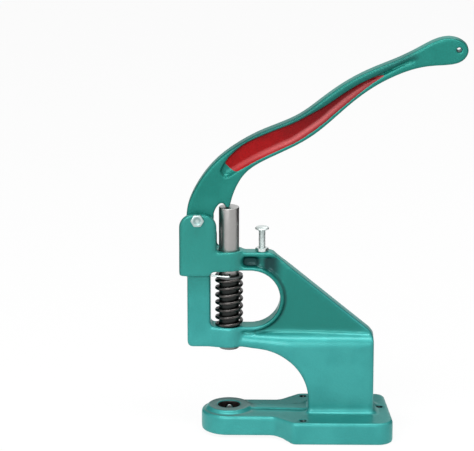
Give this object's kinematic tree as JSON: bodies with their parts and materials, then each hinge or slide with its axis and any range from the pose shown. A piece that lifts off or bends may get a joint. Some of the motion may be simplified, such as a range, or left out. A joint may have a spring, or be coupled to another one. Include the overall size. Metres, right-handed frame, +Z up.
{
  "type": "eyelet machine",
  "caption": "Hand lever bench press that sets eyelets: a cast C-frame, a curved lever on a pivot bolt, and a sprung ram over a die socket.",
  "frame": {"origin": "centre of the lower die socket's rim, on the ram's axis", "axes": "+Z up along the ram's axis, +X from the ram towards the back of the base and the lever's grip, +Y to the side away from the pivot bolt's head"},
  "size_m": [0.2452, 0.082, 0.3516],
  "materials": {
    "green_enamel": "gloss enamel on a casting",
    "lever_enamel": "gloss enamel on a casting, its sunk panel picked out in red",
    "zinc_plate": "bright zinc plate",
    "ground_steel": "ground steel",
    "black_spring": "satin black spring wire",
    "black_steel": "black oxide steel"
  },
  "bodies": {
    "frame": {"frame_casting": "green_enamel", "pivot_bolt": "zinc_plate", "pivot_lock_washer": "zinc_plate", "pivot_nut": "zinc_plate", "return_spring": "black_spring", "depth_stop_locknut": "zinc_plate"},
    "lever": {"hand_lever": "lever_enamel"},
    "ram": {"ram": "ground_steel", "cotter_pin": "zinc_plate", "spring_washer": "zinc_plate"},
    "upper_die_screw": {"upper_die_screw": "black_steel"},
    "lower_die_screw": {"lower_die_screw": "zinc_plate"},
    "depth_stop": {"depth_stop_screw": "zinc_plate"}
  },
  "joints": [
    {"name": "lever_pivot", "type": "hinge", "parent": "frame", "child": "lever", "pos_m": [-0.0269, 0, 0.1702], "axis": [0, 1, 0], "range_deg": [0, 40]},
    {"name": "ram_slide", "type": "slide", "parent": "frame", "child": "ram", "axis": [0, 0, -1], "range_m": [0, 0.0192], "stiffness_N_per_m": 13000, "springref_m": -0.005, "deforming": ["return_spring"]},
    {"name": "upper_die_clamp", "type": "slide", "parent": "ram", "child": "upper_die_screw", "axis": [0, 1, 0], "range_m": [0, 0.0015]},
    {"name": "lower_die_clamp", "type": "slide", "parent": "frame", "child": "lower_die_screw", "axis": [0, -1, 0], "range_m": [-0.003, 0.0015]},
    {"name": "depth_stop_travel", "type": "slide", "parent": "frame", "child": "depth_stop", "axis": [0, 0, 1], "range_m": [-0.012, 0.008]}
  ],
  "couplings": [
    {"joint": "ram_slide", "follows": "lever_pivot", "m_per_rad": 0.0273}
  ]
}
